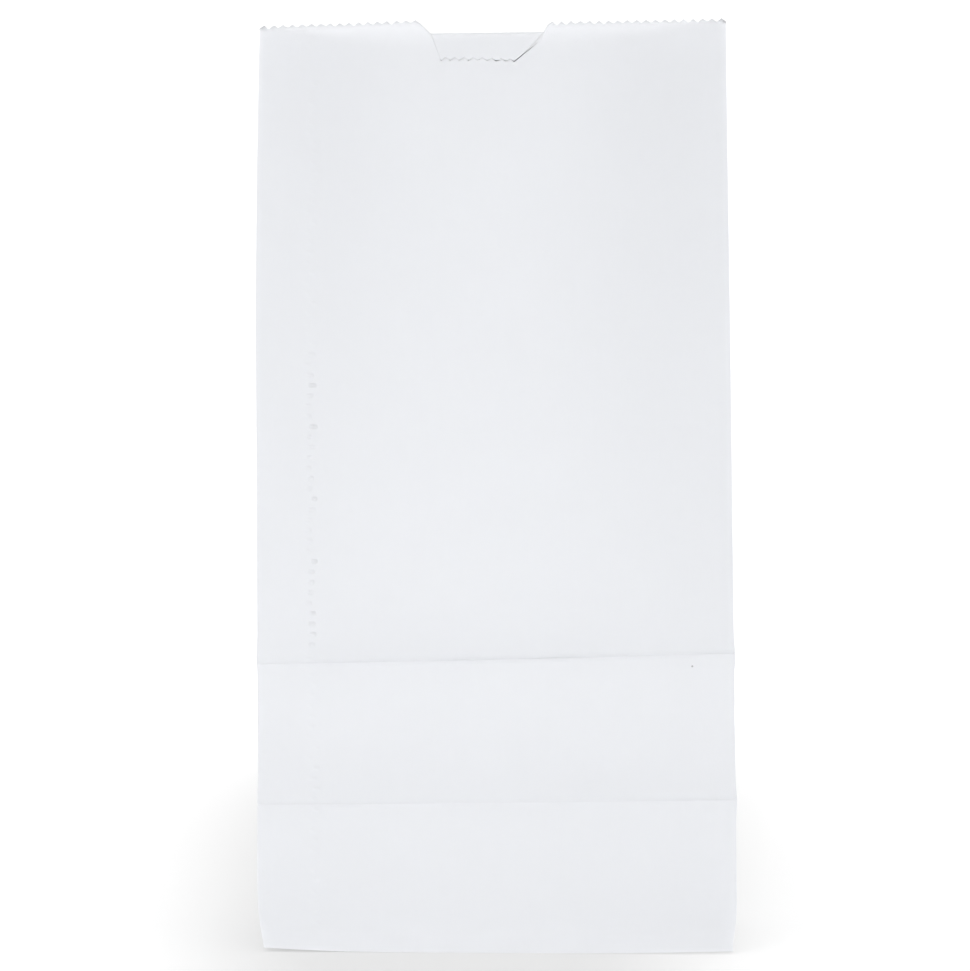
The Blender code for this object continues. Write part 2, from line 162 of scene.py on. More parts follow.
def front_reach(m, x):
    lower, upper = crease_heights(x, 1)
    middle = 1 - (x / HALF_WIDTH) ** 2
    at_lower = HALF_DEPTH - LOWER_DRAW
    at_upper = HALF_DEPTH - UPPER_DRAW + UPPER_DRAW_LESS * smooth((x + 0.05) / 0.06)
    first, second = m / lower, (m - lower) / (upper - lower)
    third = (m - upper) / (HEIGHT - upper)
    below = HALF_DEPTH + (at_lower - HALF_DEPTH) * first + BULGE_BELOW * arch(first)
    between = at_lower + (at_upper - at_lower) * second
    between = between + (BULGE_BETWEEN + BULGE_MIDDLE * middle) * arch(second)
    above = at_upper + (HALF_LIP - at_upper) * third + BULGE_ABOVE * arch(third)
    roll = (m - upper) / (ROLL_LENGTH_EDGE + ROLL_LENGTH_MIDDLE * middle)
    above = above + (ROLL_EDGE + ROLL_MIDDLE * middle) * roll * np.exp(1 - roll)
    at_corner = smooth((-0.012 - x) / 0.050) * np.clip((m - 0.165) / 0.085, 0, 1) ** 2
    above = above - CORNER_BACK * at_corner
    return np.where(m <= lower, below, np.where(m <= upper, between, above))


def back_reach(m):
    share = m / HEIGHT
    return HALF_DEPTH + (HALF_LIP - HALF_DEPTH) * share + BULGE_BACK * arch(share)


def climb(m, reach):
    """Height above the bottom fold: paper keeps its length while it leans."""
    rise = np.sqrt(np.maximum(np.diff(m, axis=-1) ** 2 - np.diff(reach, axis=-1) ** 2, 0))
    return np.concatenate([0 * m[..., :1], np.cumsum(rise, axis=-1)], axis=-1)


# %% [markdown]
# ## Slack in the paper
# A handled sheet is never flat between its folds. Long low waves lie in every panel. On the front
# there is a wide soft valley that opens into a bulge under the notch, one faint upright fold right of
# the middle, a pull from each bottom corner, and a narrow strip along the bottom edge that turns out
# to meet the table. Noise alone would look like water, so each of these has its own line.

# %% Waves and tents
WAVES, SHORTEST, LONGEST = 9, 0.035, 0.11
EDGE_EASE = 0.02  # waves die out over this distance from the edges of a panel


def waves(a, b, seed):
    """Long low waves over the flat place a, b, in directions that the seed picks."""
    rng = np.random.default_rng(seed)
    total = 0.0
    for _ in range(WAVES):
        length = rng.uniform(SHORTEST, LONGEST)
        angle, phase = rng.uniform(0, math.pi), rng.uniform(0, 2 * math.pi)
        along = a * math.cos(angle) + b * math.sin(angle)
        total = total + (length / LONGEST) * np.sin(2 * math.pi * along / length + phase)
    return total / WAVES


def tent(distance, half_width):
    return np.sqrt((np.maximum(0, 1 - np.abs(distance) / half_width)) ** 2 + 0.002)


def off_the_edges(x, m):
    return smooth((HALF_WIDTH - np.abs(x)) / EDGE_EASE) * smooth(m / EDGE_EASE)


# %% Slack of the front panel, measured outwards
FRONT_WAVES, BACK_WAVES = 0.00055, 0.0008
VALLEY_X, VALLEY_DEPTH, VALLEY_LENGTH = -0.002, 0.0012, 0.180
BULGE_X, BULGE_HEIGHT, BULGE_LENGTH, BULGE_HALF_WIDTH = -0.003, 0.0032, 0.040, 0.022
FOLD_X, FOLD_HEIGHT, FOLD_HALF_WIDTH = 0.0236, 0.0005, 0.010
PULLS = ((1, 0.0010), (-1, 0.0006))  # side of the bag, depth
PULL_START, PULL_SLOPE, PULL_LENGTH, PULL_HALF_WIDTH = 0.004, 1.25, 0.020, 0.009
PRESSED = ((0.00008, 0.00007, 12), (0.00013, 0.00010, 14))  # least depth, more in places, seed
STRIP_FLARE, STRIP_HEIGHT = 0.0021, 0.0055


def front_slack(x, m):
    down = HEIGHT - m
    slack = FRONT_WAVES * waves(x, m, 3) * off_the_edges(x, m)
    valley = smooth(1 - down / VALLEY_LENGTH) * bump(x, VALLEY_X, 0.022 + 0.06 * down)
    bulge = smooth(1 - down / BULGE_LENGTH) * bump(x, BULGE_X, BULGE_HALF_WIDTH)
    slack = slack - VALLEY_DEPTH * valley + BULGE_HEIGHT * bulge
    fold = smooth((m - 0.140) / 0.018) * smooth((0.196 - m) / 0.02)
    slack = slack + FOLD_HEIGHT * fold * tent(x - FOLD_X, FOLD_HALF_WIDTH)
    for side, depth in PULLS:
        along = (side * HALF_WIDTH - x) * side
        off = (m - PULL_START - PULL_SLOPE * along) / math.hypot(1, PULL_SLOPE)
        reach = smooth(along / 0.002) * smooth((PULL_LENGTH - along) / 0.016)
        slack = slack - depth * reach * tent(off, PULL_HALF_WIDTH)
    for crease, (least, more, seed) in zip(crease_heights(x, 1), PRESSED):
        pressed = least + more * smooth(0.5 + 8 * waves(x, 0 * x, seed))
        slack = slack - pressed * np.maximum(0, 1 - np.abs(m - crease) / GROOVE)
    return slack + STRIP_FLARE * np.maximum(0, 1 - m / STRIP_HEIGHT)


# %% Front and back panels


def panel(front):
    sign = -1 if front else 1
    x = X if front else X[::-1]
    cut = columns[:, 1] if front else 0 * x + BACK_HEIGHT
    m = row_heights(x, cut, 1 if front else 0)
    across = x[:, None] + 0 * m
    if front:
        reach, slack = front_reach(m, across), front_slack(across, m)
    else:
        reach, slack = back_reach(m), BACK_WAVES * waves(across, m, 8) * off_the_edges(across, m)
    return np.stack([across, sign * (reach + slack), climb(m, reach)], axis=-1), m


front_points, front_m = panel(True)
back_points, back_m = panel(False)
left_end_of_lip = front_points[0, -1]
print("front lip stands", round(left_end_of_lip[2] * MM, 1), "mm high")
print("and", round(-left_end_of_lip[1] * MM, 1), "mm forward of the middle plane")

# %% [markdown]
# ## Gussets
# Each side folds in along a middle crease. Half a gusset keeps its width, so the closer the panels
# lean together the deeper the crease stands in. At the bottom the crease ends in a peak, and two
# diagonals run from it to the corners of the bottom. Below the peak the grid has as many rows as a
# leaf has columns, so both diagonals fall on the grid and stay sharp.

# %% Gusset leaves
LEAF = 30  # columns across half a gusset


def gusset(side):
    """Both leaves of one gusset, from the front panel's edge to the back panel's edge."""
    front_edge = front_points[-1 if side > 0 else 0]
    back_edge = back_points[0 if side > 0 else -1]
    level = row_heights(np.zeros(1), np.array([(HEIGHT + BACK_HEIGHT) / 2]), 0)[0]
    gap = np.maximum(back_edge[:, 1] - front_edge[:, 1], 0) / 2
    gap[: CREASE_ROW + 1] = gap[CREASE_ROW]
    tuck = np.sqrt(np.maximum(HALF_DEPTH**2 - gap**2, 0))
    rise = climb(level, tuck)
    peak_height = math.sqrt(HALF_DEPTH**2 - tuck[CREASE_ROW] ** 2)
    rise += peak_height - rise[CREASE_ROW]
    middle = (back_edge[:, 1] + front_edge[:, 1]) / 2
    crease = np.stack([side * (HALF_WIDTH - tuck), middle, rise], axis=-1)
    peak = crease[CREASE_ROW]
    share = (np.arange(CREASE_ROW + 1) / CREASE_ROW)[:, None]
    foot_lines = [edge[0] + (peak - edge[0]) * share for edge in (front_edge, back_edge)]
    half_way = (foot_lines[0] + foot_lines[1]) / 2
    leaves = []
    for edge, foot_line in zip((front_edge, back_edge), foot_lines):
        grid = np.empty((LEAF + 1, len(level), 3))
        for j in range(LEAF + 1):
            for i in range(CREASE_ROW + 1):
                if j <= i:
                    t = j / i if i else 0.0
                    grid[j, i] = edge[i] + (foot_line[i] - edge[i]) * t
                else:
                    t = (j - i) / (CREASE_ROW - i)
                    grid[j, i] = foot_line[i] + (half_way[i] - foot_line[i]) * t
            upper = slice(CREASE_ROW, None)
            grid[j, upper] = edge[upper] + (crease[upper] - edge[upper]) * (j / LEAF)
        leaves.append(grid)
    return np.concatenate([leaves[0], leaves[1][-2::-1]], axis=0), level


right_points, gusset_m = gusset(1)
left_points, _ = gusset(-1)
print("peak of the right gusset:", (right_points[LEAF, CREASE_ROW] * MM).round(1), "mm")

# %% Waves in the leaves, which die out at their folds
GUSSET_WAVES = 0.0006
leaf_s = np.linspace(0, DEPTH, 2 * LEAF + 1)
folds = leaf_s / HALF_DEPTH
push = np.sin(np.pi * np.abs(folds - np.floor(folds)))[:, None] * GUSSET_WAVES
for points, seed in ((right_points, 21), (left_points, 22)):
    slack = waves(leaf_s[:, None], gusset_m[None, :], seed)
    points[..., 0] += push * slack * smooth(gusset_m / 0.03)
print("the leaves wave by up to", round(float(push.max()) * MM, 1), "mm")

# %% [markdown]
# ## One skin from four panels
# The four panels share their edge columns, so they join into one tube. A plate of the two side flaps
# closes the bottom. Each point also keeps its place on the flat sheet, which the paper's finish
# reads, and its tooth phase, which cuts the lip.

# %% Join the panels
leaf_inside = leaf_s[1:-1]
gusset_rows = np.repeat(gusset_m[None], len(leaf_inside), 0)
gusset_phase = np.arange(1, 2 * LEAF)
whole_teeth = np.ones(len(gusset_phase))
tube = np.concatenate([front_points, right_points[1:-1], back_points, left_points[::-1][1:-1]])
flat_m = np.concatenate([front_m, gusset_rows, back_m, gusset_rows])
flat_s = np.concatenate(
    [
        X,
        HALF_WIDTH + leaf_inside,
        HALF_WIDTH + DEPTH + (HALF_WIDTH - X[::-1]),
        HALF_WIDTH + DEPTH + WIDTH + leaf_inside,
    ]
)
phase = np.concatenate([columns[:, 2], gusset_phase, 0 * X, gusset_phase])
pinked = np.concatenate([columns[:, 3], whole_teeth, 0 * X, whole_teeth])
n_columns, n_rows = len(tube), len(row_steps)
print("skin:", n_columns, "columns by", n_rows, "rows")

# %% [markdown]
# ## The stand of the bag
# The bag leans a touch to its left, and its bottom corners are lifted off the table by a millimetre
# or so. Its upright edges are drawn in a little, most of all at the foot. These are moves of the
# whole bag, so one function makes them, and the bottom flaps go through it too.

# %% Drawn-in edges and lifted corners
EDGE_DRAW, RIGHT_LIP_DRAW = 0.00035, 0.0002
FOOT_DRAW = {-1: (0.0019, 0.0060, 1.4), 1: (0.0012, 0.0065, 2)}  # depth, height, sharpness
CREASE_ENDS, CREASE_END_HEIGHT = (0.0395, 0.0775), 0.0035


def edge_pull(z, side, y):
    """How far an upright edge is drawn in: most at the foot, none where the front's creases end."""
    z = np.maximum(z, 0)
    depth, height, sharpness = FOOT_DRAW[side]
    foot = depth * np.exp(-((z / height) ** sharpness))
    held = sum(np.exp(-(((z - end) / CREASE_END_HEIGHT) ** 2)) for end in CREASE_ENDS)
    free = 1 - held * smooth(-y / 0.015)
    if side < 0:
        fade = smooth((z - 0.036) / 0.012) * (1 - 0.7 * smooth((z - 0.120) / 0.05))
        return EDGE_DRAW * free * fade + foot
    return EDGE_DRAW * free + foot + RIGHT_LIP_DRAW * smooth((z - 0.15) / 0.09)


def corner_lift(x):
    left = 0.0011 * np.clip((-x - 0.026) / 0.0375, 0, 1) ** 2
    right = 0.0007 * np.clip((x - 0.020) / 0.0435, 0, 1) ** 1.5
    return left + right


# %% Lean, and the height of the layers in the bottom
LEAN, LEAN_TILT = 0.0113, 0.7
PLY_GAP = 0.00004  # air between two layers
EDGE_LEVEL = 0.00006  # height of the bottom's folded edges
PLATE_LEVEL = 3 * PAPER + 2 * PLY_GAP


def stand(points):
    """Moves points of the square bag to the leaning bag, above the layers of its bottom."""
    out = points.copy()
    x, y, z = points[..., 0], points[..., 1], points[..., 2]
    pull = np.where(x < 0, edge_pull(z, -1, y), -edge_pull(z, 1, y))
    out[..., 0] = x + pull * (np.abs(x) / HALF_WIDTH) - LEAN * z
    from_edge = np.minimum(HALF_WIDTH - np.abs(x), HALF_DEPTH - np.abs(y))
    in_plate = EDGE_LEVEL + (PLATE_LEVEL - EDGE_LEVEL) * smooth(from_edge / 0.008)
    level = np.where(z < 1e-6, in_plate, EDGE_LEVEL)
    tilt = LEAN_TILT * LEAN * x * smooth(z / 0.12)
    out[..., 2] = z + tilt + corner_lift(x) * (1 - smooth(z / 0.05)) + level
    return out


standing = stand(tube)
skin_points = standing.reshape(-1, 3)
index = np.arange(n_columns * n_rows).reshape(n_columns, n_rows)
print("highest point of the lip:", round(float(skin_points[:, 2].max()) * MM, 1), "mm")

# %% Faces of the tube: squares, cut along the diagonals below each gusset's peak
front_end = len(X) - 1
right_end = front_end + 2 * LEAF
back_end = right_end + len(X) - 1
faces = []
for c in range(n_columns):
    d = (c + 1) % n_columns
    on_right, on_left = front_end <= c < right_end, c >= back_end
    leaf_place = c - front_end if on_right else c - back_end
    for r in range(n_rows - 1):
        low, low_next = index[c, r], index[d, r]
        high, high_next = index[c, r + 1], index[d, r + 1]
        if r >= CREASE_ROW or not (on_right or on_left):
            faces.append([low, low_next, high_next, high])
        elif leaf_place < LEAF:
            faces += [[low, low_next, high_next], [low, high_next, high]]
        else:
            faces += [[low, low_next, high], [low_next, high_next, high]]
print("faces of the tube:", len(faces))

# %% Plate across the bottom, from the front edge's columns to the back edge's
plate = np.empty((len(X), 2 * LEAF + 1), int)
plate[:, 0] = index[: len(X), 0]
plate[:, -1] = index[right_end : back_end + 1, 0][::-1]
plate[-1, 1:-1] = index[len(X) : right_end, 0]
plate[0, 1:-1] = index[back_end + 1 :, 0][::-1]
inner = np.stack(np.meshgrid(X[1:-1], leaf_inside - HALF_DEPTH, indexing="ij"), axis=-1)
inner = stand(np.concatenate([inner, np.zeros(inner.shape[:2] + (1,))], axis=-1))
inner_index = np.arange(inner[..., 0].size).reshape(inner.shape[:2])
plate[1:-1, 1:-1] = len(skin_points) + inner_index
skin_points = np.concatenate([skin_points, inner.reshape(-1, 3)])
for i in range(len(X) - 1):
    for j in range(2 * LEAF):
        faces.append([plate[i, j], plate[i, j + 1], plate[i + 1, j + 1], plate[i + 1, j]])
print("faces of the skin:", len(faces))

# %% A mesh with values that its points carry
SHARP_FOLD = math.radians(28)


def add_mesh(name, points, faces, **attributes):
    data = bpy.data.meshes.new(name)
    data.from_pydata(points.tolist(), [], [list(map(int, f)) for f in faces])
    for key, values in attributes.items():
        kind, slot = ("FLOAT_VECTOR", "vector") if np.ndim(values) == 2 else ("FLOAT", "value")
        layer = data.attributes.new(key, kind, "POINT")
        layer.data.foreach_set(slot, np.asarray(values, np.float32).ravel())
    data.shade_smooth()
    data.set_sharp_from_angle(angle=SHARP_FOLD)
    obj = bpy.data.objects.new(name, data)
    bpy.context.scene.collection.objects.link(obj)
    return obj


# %% The skin, with its flat place, tooth phase and cut direction
PLATE_PLACE = (0.5, -0.2)  # the plate's own part of the flat sheet, clear of the tube's
n_skin, n_tube = len(skin_points), n_columns * n_rows
flat_place, cut_way = np.zeros((n_skin, 3)), np.zeros((n_skin, 3))
lip_phase, lip_weight = np.zeros(n_skin), np.zeros(n_skin)
flat_place[:n_tube, 0] = np.repeat(flat_s, n_rows)
flat_place[:n_tube, 1] = flat_m.ravel()
flat_place[n_tube:, :2] = inner.reshape(-1, 3)[:, :2] + PLATE_PLACE
down = standing[:, -2] - standing[:, -1]
cut_way[index[:, -1]] = down / np.linalg.norm(down, axis=-1, keepdims=True)
lip_weight[index[:, -1]] = pinked
lip_phase[:n_tube] = np.repeat(phase, n_rows)
carried = dict(flat_place=flat_place, lip_phase=lip_phase, lip_weight=lip_weight, cut_way=cut_way)
bag = add_mesh("bag_sheet", skin_points, faces, **carried)
print("points of the skin:", n_skin)

# %% [markdown]
# ## Paper
# Bleached bag paper is a cool white, matt on the felt side with a slight sheen from the drying
# cylinder. Up close it is cloudy, because fibres clump, and it has fine streaks up the bag, the way
# it ran through the machine. It also lets some light through, so the bag glows a little where there
# is light behind it. All of it follows the flat sheet, so the streaks bend with the folds. An image
# of paper would repeat and blur.

# %% Helpers for node trees


def maths(tree, operation, first, second=None):
    node = tree.nodes.new("ShaderNodeMath")
    node.operation = operation
    for slot, value in enumerate((first, second)):
        if value is None:
            continue
        if isinstance(value, (int, float)):
            node.inputs[slot].default_value = value
        else:
            tree.links.new(value, node.inputs[slot])
    return node.outputs[0]


def sums(tree):
    """The four sums of one tree, under short names."""
    return [partial(maths, tree, kind) for kind in ("ADD", "SUBTRACT", "MULTIPLY", "DIVIDE")]


def shader_group(name, inputs, outputs):
    tree = bpy.data.node_groups.new(name, "ShaderNodeTree")
    for label, kind, default in inputs:
        socket = tree.interface.new_socket(label, in_out="INPUT", socket_type=kind)
        if default is not None:
            socket.default_value = default
    for label, kind in outputs:
        tree.interface.new_socket(label, in_out="OUTPUT", socket_type=kind)
    return tree, tree.nodes.new("NodeGroupInput"), tree.nodes.new("NodeGroupOutput")


def noise(tree, vector, stretch, scale, detail):
    mapping = tree.nodes.new("ShaderNodeMapping")
    mapping.inputs["Scale"].default_value = stretch
    tree.links.new(vector, mapping.inputs["Vector"])
    node = tree.nodes.new("ShaderNodeTexNoise")
    node.inputs["Scale"].default_value = scale
    node.inputs["Detail"].default_value = detail
    tree.links.new(mapping.outputs["Vector"], node.inputs["Vector"])
    return node.outputs["Fac"]


def pick(tree, kind, socket):
    """The X, Y and Z of a vector, or the red, green and blue of a colour."""
    node = tree.nodes.new(kind)
    tree.links.new(socket, node.inputs[0])
    return node.outputs


# %% Fibres: clouds, streaks up the sheet and a fine grain
CLOUD, STREAK, GRAIN = 260, 900, 2600  # in clouds, streaks or grains per metre
fibres, f_in, f_out = shader_group(
    "paper_fibres",
    [("Place", "NodeSocketVector", None)],
    [("Cloud", "NodeSocketFloat"), ("Height", "NodeSocketFloat")],
)
add, _, times, _ = sums(fibres)
cloud = noise(fibres, f_in.outputs["Place"], (1, 1, 1), CLOUD, 2)
streak = noise(fibres, f_in.outputs["Place"], (1, 0.08, 1), STREAK, 1)
grain = noise(fibres, f_in.outputs["Place"], (1, 0.6, 1), GRAIN, 1)
fibres.links.new(add(times(cloud, 0.6), times(streak, 0.4)), f_out.inputs["Cloud"])
fibres.links.new(add(times(grain, 0.7), times(cloud, 0.5)), f_out.inputs["Height"])
print("fibre nodes:", len(fibres.nodes))

# %% [markdown]
# ## Knurl marks of the lap seam
# The tube is closed by a lap down the left of the front. No edge shows there, but a ribbed wheel has
# pressed the glued lap and left a small dent every 2.8 mm or so, clear in the middle of the bag and
# faint elsewhere, as glue does not take evenly. The dents are far finer than the sheet's grid, so
# they are relief in the finish: the place up the sheet is cut into steps of one pitch, and a random
# number for each step gives its dent a width, a depth and a shift to one side.

# %% Sizes of the dents, and two masks
SEAM_X, SEAM_HALF_WIDTH = -0.0487, 0.0045
MARK_PITCH = 0.00277
MARK_HALF_WIDTH, MARK_HALF_HEIGHT, MARK_SHIFT = 0.0011, 0.00062, 0.0022
MARK_CLEAR, MARK_CLEAR_SOFT = (0.080, 0.157), 0.006
MARK_ENDS, MARK_ENDS_SOFT = (0.006, 0.234), 0.004


def window(tree, value, low, high, soft):
    """1 between low and high, falling to 0 over the soft distance outside them."""
    sides = []
    for edge, way in ((low, 1), (high, -1)):
        node = tree.nodes.new("ShaderNodeMapRange")
        node.interpolation_type = "SMOOTHSTEP"
        tree.links.new(value, node.inputs["Value"])
        node.inputs["From Min"].default_value = edge - way * soft
        node.inputs["From Max"].default_value = edge
        sides.append(node.outputs["Result"])
    return maths(tree, "MULTIPLY", sides[0], sides[1])


def round_dent(tree, offset):
    """1 at the middle of a dent, 0 from a distance of 1."""
    square = maths(tree, "MULTIPLY", offset, offset)
    return maths(tree, "MAXIMUM", maths(tree, "SUBTRACT", 1.0, square), 0.0)


# %% Dents along the seam
marks, k_in, k_out = shader_group(
    "seam_dents",
    [("Place", "NodeSocketVector", None), ("Pitch", "NodeSocketFloat", MARK_PITCH)],
    [("Depth", "NodeSocketFloat")],
)
add, less, times, over = sums(marks)
place = pick(marks, "ShaderNodeSeparateXYZ", k_in.outputs["Place"])
step = over(place["Y"], k_in.outputs["Pitch"])
dice = marks.nodes.new("ShaderNodeTexWhiteNoise")
dice.noise_dimensions = "1D"
marks.links.new(maths(marks, "FLOOR", step), dice.inputs["W"])
chance = pick(marks, "ShaderNodeSeparateColor", dice.outputs["Color"])
aside = times(less(chance["Red"], 0.5), MARK_SHIFT)
wide = times(add(times(chance["Green"], 0.6), 0.6), MARK_HALF_WIDTH)
across_mark = round_dent(marks, over(less(less(place["X"], SEAM_X), aside), wide))
from_middle = times(less(maths(marks, "FRACT", step), 0.5), k_in.outputs["Pitch"])
up_mark = round_dent(marks, over(from_middle, MARK_HALF_HEIGHT))
clear = window(marks, place["Y"], *MARK_CLEAR, MARK_CLEAR_SOFT)
clear = times(add(times(clear, 0.7), 0.3), window(marks, place["Y"], *MARK_ENDS, MARK_ENDS_SOFT))
force = add(times(dice.outputs["Value"], 0.65), 0.35)
marks.links.new(times(times(across_mark, up_mark), times(clear, force)), k_out.inputs["Depth"])
print("seam dents:", round((MARK_ENDS[1] - MARK_ENDS[0]) / MARK_PITCH))

# %% [markdown]
# ## The finish itself
# One principled shader carries the white, the fibres tint and lift it, and a translucent shader lets
# light through. The sheet of this bag also has one dark speck in the strip between the creases, as
# recycled fibre leaves them.

# %% Values of the finish
WHITE = (0.855, 0.863, 0.885)
THROUGH, SPECK = (0.97, 0.975, 0.98, 1), (0.10, 0.09, 0.08, 1)
THIN_CLOUD, THICK_CLOUD = 0.98, 1.015  # how much the clouds dim and lift the white
ROUGHNESS, GLOSS_LEVEL, FIBRE_STRENGTH = 0.62, 0.35, 0.5
SPECK_PLACE, SPECK_RADIUS = (0.0522, 0.0754, 0.0), 0.00026
MARK_DEPTH = 0.00032  # deeper than a real dent, so that it still shows at the photograph's size


def new_bump(tree, height, distance, strength):
    node = tree.nodes.new("ShaderNodeBump")
    node.inputs["Distance"].default_value = distance
    node.inputs["Strength"].default_value = strength
    tree.links.new(height, node.inputs["Height"])
    return node


def mixed_colour(tree, factor, first, second):
    node = tree.nodes.new("ShaderNodeMixRGB")
    tree.links.new(factor, node.inputs["Fac"])
    for label, value in (("Color1", first), ("Color2", second)):
        if isinstance(value, tuple):
            node.inputs[label].default_value = value
        else:
            tree.links.new(value, node.inputs[label])
    return node.outputs["Color"]


# %% The paper's finish


def paper(name, translucency, fibre_depth, dented):
    material = bpy.data.materials.new(name)
    material.use_nodes = True
    tree = material.node_tree
    shader, output = tree.nodes["Principled BSDF"], tree.nodes["Material Output"]
    place = tree.nodes.new("ShaderNodeAttribute")
    place.attribute_name = "flat_place"
    group = tree.nodes.new("ShaderNodeGroup")
    group.node_tree = fibres
    tree.links.new(place.outputs["Vector"], group.inputs["Place"])
    thin = (*[c * THIN_CLOUD for c in WHITE], 1)
    thick = (*[c * THICK_CLOUD for c in WHITE], 1)
    tint = mixed_colour(tree, group.outputs["Cloud"], thin, thick)
    away = tree.nodes.new("ShaderNodeVectorMath")
    away.operation = "DISTANCE"
    away.inputs[1].default_value = SPECK_PLACE
    tree.links.new(place.outputs["Vector"], away.inputs[0])
    on_speck = maths(tree, "LESS_THAN", away.outputs["Value"], SPECK_RADIUS)
    tree.links.new(mixed_colour(tree, on_speck, tint, SPECK), shader.inputs["Base Color"])
    shader.inputs["Roughness"].default_value = ROUGHNESS
    shader.inputs["Specular IOR Level"].default_value = GLOSS_LEVEL
    through = tree.nodes.new("ShaderNodeBsdfTranslucent")
    through.inputs["Color"].default_value = THROUGH
    relief = new_bump(tree, group.outputs["Height"], fibre_depth, FIBRE_STRENGTH)
    if dented:
        dents = tree.nodes.new("ShaderNodeGroup")
        dents.node_tree = marks
        tree.links.new(place.outputs["Vector"], dents.inputs["Place"])
        pressed = new_bump(tree, dents.outputs["Depth"], MARK_DEPTH, 1.0)
        pressed.invert = True
        tree.links.new(relief.outputs["Normal"], pressed.inputs["Normal"])
        relief = pressed
    mix = tree.nodes.new("ShaderNodeMixShader")
    mix.inputs["Fac"].default_value = translucency
    for slot, layer in enumerate((shader, through), 1):
        tree.links.new(relief.outputs["Normal"], layer.inputs["Normal"])
        tree.links.new(layer.outputs[0], mix.inputs[slot])
    tree.links.new(mix.outputs[0], output.inputs["Surface"])
    return material


sheet_paper = paper("white_paper", 0.50, 0.00004, dented=False)
seam_paper = paper("white_paper_seam", 0.50, 0.00004, dented=True)
flap_paper = paper("white_paper_flaps", 0.40, 0.00005, dented=False)
print("papers:", sheet_paper.name, seam_paper.name, flap_paper.name)

# %% [markdown]
# ## Pinked lip
# The zigzag is one rule repeated round the mouth, so it is a node tree with the tooth depth as an
# input: a triangle wave of the tooth phase pulls every second column of the lip down the sheet.
# Cutting each tooth by hand, or with a Boolean, would leave edges that no longer line up with the
# columns below. The same tree gives the strip along the seam its dented paper.

# %% Node tree that cuts the teeth: its inputs
TOOTH_DEPTH = 0.0009


def node_tree(name, sockets):
    tree = bpy.data.node_groups.new(name, "GeometryNodeTree")
    tree.interface.new_socket("Geometry", in_out="INPUT", socket_type="NodeSocketGeometry")
    tree.interface.new_socket("Geometry", in_out="OUTPUT", socket_type="NodeSocketGeometry")
    made = {}
    for label, kind, default in sockets:
        socket = tree.interface.new_socket(label, in_out="INPUT", socket_type=kind)
        if default is not None:
            socket.default_value = default
        made[label] = socket.identifier
    return tree, made


def named(tree, label, kind="FLOAT"):
    node = tree.nodes.new("GeometryNodeInputNamedAttribute")
    node.data_type = kind
    node.inputs["Name"].default_value = label
    return node.outputs["Attribute"]


teeth, teeth_inputs = node_tree(
    "pinked_lip",
    [
        ("Tooth depth", "NodeSocketFloat", TOOTH_DEPTH),
        ("Unevenness", "NodeSocketFloat", 0.2),
        ("Seed", "NodeSocketInt", 4),
        ("Seam place", "NodeSocketFloat", SEAM_X),
        ("Seam width", "NodeSocketFloat", SEAM_HALF_WIDTH),
        ("Paper", "NodeSocketMaterial", None),
        ("Seam paper", "NodeSocketMaterial", None),
    ],
)
group_in, group_out = teeth.nodes.new("NodeGroupInput"), teeth.nodes.new("NodeGroupOutput")
print("inputs of the tree:", ", ".join(teeth_inputs))

# %% How far down each point of the lip is cut
add, less, times, _ = sums(teeth)
valley = less(1.0, maths(teeth, "PINGPONG", named(teeth, "lip_phase"), 1.0))
drop = times(times(valley, named(teeth, "lip_weight")), group_in.outputs["Tooth depth"])
uneven = teeth.nodes.new("FunctionNodeRandomValue")
uneven.data_type = "FLOAT"
uneven_inputs = {s.name: s for s in uneven.inputs if s.enabled}
teeth.links.new(less(1.0, group_in.outputs["Unevenness"]), uneven_inputs["Min"])
teeth.links.new(add(1.0, group_in.outputs["Unevenness"]), uneven_inputs["Max"])
teeth.links.new(group_in.outputs["Seed"], uneven_inputs["Seed"])
drop = times(drop, next(s for s in uneven.outputs if s.enabled))
print("nodes of the cut:", len(teeth.nodes))

# %% Move the lip, and set the paper of the sheet and of the strip along its seam
scaled = teeth.nodes.new("ShaderNodeVectorMath")
scaled.operation = "SCALE"
teeth.links.new(named(teeth, "cut_way", "FLOAT_VECTOR"), scaled.inputs[0])
teeth.links.new(drop, scaled.inputs["Scale"])
move = teeth.nodes.new("GeometryNodeSetPosition")
teeth.links.new(scaled.outputs[0], move.inputs["Offset"])
flat_x = pick(teeth, "ShaderNodeSeparateXYZ", named(teeth, "flat_place", "FLOAT_VECTOR"))["X"]
from_seam = maths(teeth, "ABSOLUTE", less(flat_x, group_in.outputs["Seam place"]))
on_seam = maths(teeth, "LESS_THAN", from_seam, group_in.outputs["Seam width"])
finish, seam_finish = (teeth.nodes.new("GeometryNodeSetMaterial") for _ in range(2))
teeth.links.new(on_seam, seam_finish.inputs["Selection"])
teeth.links.new(group_in.outputs["Paper"], finish.inputs["Material"])
teeth.links.new(group_in.outputs["Seam paper"], seam_finish.inputs["Material"])
real = teeth.nodes.new("GeometryNodeRealizeInstances")
chain = (group_in, move, real, finish, seam_finish, group_out)
for before, after in zip(chain, chain[1:]):
    teeth.links.new(before.outputs["Geometry"], after.inputs["Geometry"])
print("nodes of the tree:", len(teeth.nodes))

# %% Cut the teeth, give the sheet its thickness and keep the result as a plain mesh


def bake(obj):
    """Keeps the object's shape with its modifiers as its own plain mesh."""
    graph = bpy.context.evaluated_depsgraph_get()
    made = bpy.data.meshes.new_from_object(
        obj.evaluated_get(graph), preserve_all_data_layers=True, depsgraph=graph
    )
    obj.modifiers.clear()
    obj.data = made
    return len(made.polygons)


def thicken(obj):
    solid = obj.modifiers.new("thickness", "SOLIDIFY")
    solid.thickness = PAPER
    solid.offset = -1
    solid.use_even_offset = True
    solid.use_quality_normals = True


